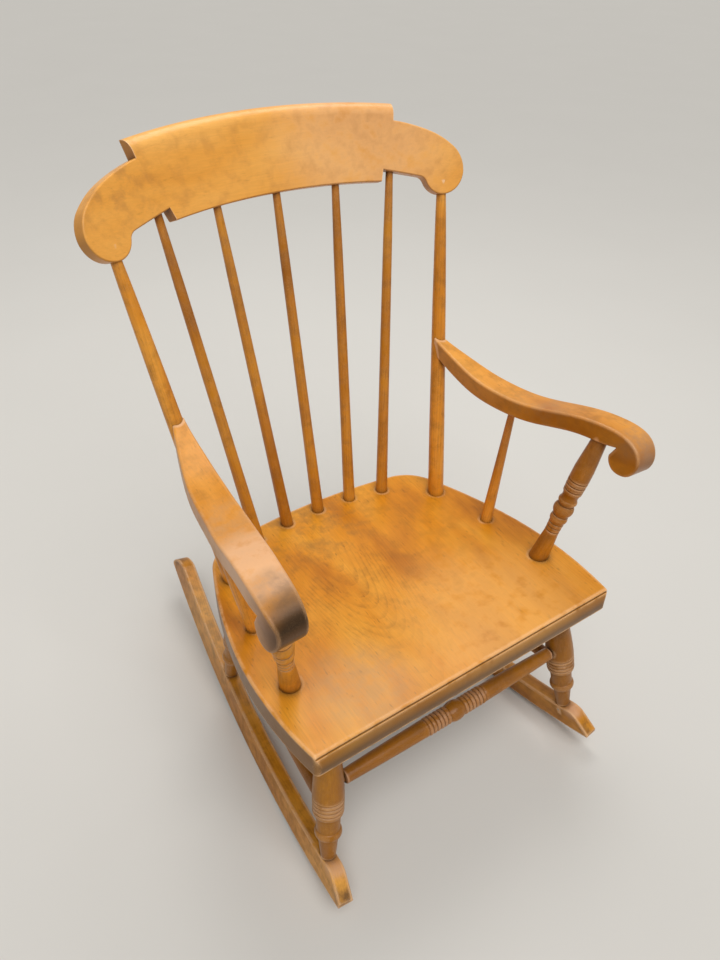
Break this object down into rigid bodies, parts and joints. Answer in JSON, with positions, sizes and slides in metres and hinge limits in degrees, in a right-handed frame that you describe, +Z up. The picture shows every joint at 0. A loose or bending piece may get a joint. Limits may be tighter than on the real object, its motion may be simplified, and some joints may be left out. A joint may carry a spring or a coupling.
{
  "type": "rocking chair",
  "caption": "Child's wooden rocking chair: scrolled crest rail on raked posts and spindles, scrolled arms, plank seat with moulded front edge, ring-turned legs, sawn rockers.",
  "frame": {"origin": "on the floor, midway between the front and rear tips of the rockers and midway between the two rockers", "axes": "+Z up, front of the chair towards -Y, +X to the right as seen from the front; the rockers touch the floor under the centre of mass"},
  "size_m": [0.4986, 0.5965, 0.7611],
  "materials": {
    "arm_screw_plugs": "amber semi-gloss lacquer over maple",
    "arm_screws": "plain drawn steel",
    "back_spindle_1": "amber semi-gloss lacquer over maple",
    "back_spindle_2": "amber semi-gloss lacquer over maple",
    "back_spindle_3": "amber semi-gloss lacquer over maple",
    "back_spindle_4": "amber semi-gloss lacquer over maple",
    "back_spindle_5": "amber semi-gloss lacquer over maple",
    "crest_brads": "plain drawn steel",
    "crest_rail": "amber semi-gloss lacquer over maple",
    "front_left_leg": "amber semi-gloss lacquer over maple",
    "front_right_leg": "amber semi-gloss lacquer over maple",
    "front_stretcher": "amber semi-gloss lacquer over maple",
    "left_arm": "amber semi-gloss lacquer over maple",
    "left_arm_post": "amber semi-gloss lacquer over maple",
    "left_arm_spindle": "amber semi-gloss lacquer over maple",
    "left_back_post": "amber semi-gloss lacquer over maple",
    "left_rocker": "amber semi-gloss lacquer over maple",
    "left_side_stretcher": "amber semi-gloss lacquer over maple",
    "rear_left_leg": "amber semi-gloss lacquer over maple",
    "rear_right_leg": "amber semi-gloss lacquer over maple",
    "rear_stretcher": "amber semi-gloss lacquer over maple",
    "right_arm": "amber semi-gloss lacquer over maple",
    "right_arm_post": "amber semi-gloss lacquer over maple",
    "right_arm_spindle": "amber semi-gloss lacquer over maple",
    "right_back_post": "amber semi-gloss lacquer over maple",
    "right_rocker": "amber semi-gloss lacquer over maple",
    "right_side_stretcher": "amber semi-gloss lacquer over maple",
    "rocker_brads": "plain drawn steel",
    "seat": "amber semi-gloss lacquer over maple"
  },
  "bodies": {
    "root": {"arm_screw_plugs": "arm_screw_plugs", "arm_screws": "arm_screws", "back_spindle_1": "back_spindle_1", "back_spindle_2": "back_spindle_2", "back_spindle_3": "back_spindle_3", "back_spindle_4": "back_spindle_4", "back_spindle_5": "back_spindle_5", "crest_brads": "crest_brads", "crest_rail": "crest_rail", "front_left_leg": "front_left_leg", "front_right_leg": "front_right_leg", "front_stretcher": "front_stretcher", "left_arm": "left_arm", "left_arm_post": "left_arm_post", "left_arm_spindle": "left_arm_spindle", "left_back_post": "left_back_post", "left_rocker": "left_rocker", "left_side_stretcher": "left_side_stretcher", "rear_left_leg": "rear_left_leg", "rear_right_leg": "rear_right_leg", "rear_stretcher": "rear_stretcher", "right_arm": "right_arm", "right_arm_post": "right_arm_post", "right_arm_spindle": "right_arm_spindle", "right_back_post": "right_back_post", "right_rocker": "right_rocker", "right_side_stretcher": "right_side_stretcher", "rocker_brads": "rocker_brads", "seat": "seat"}
  },
  "joints": []
}
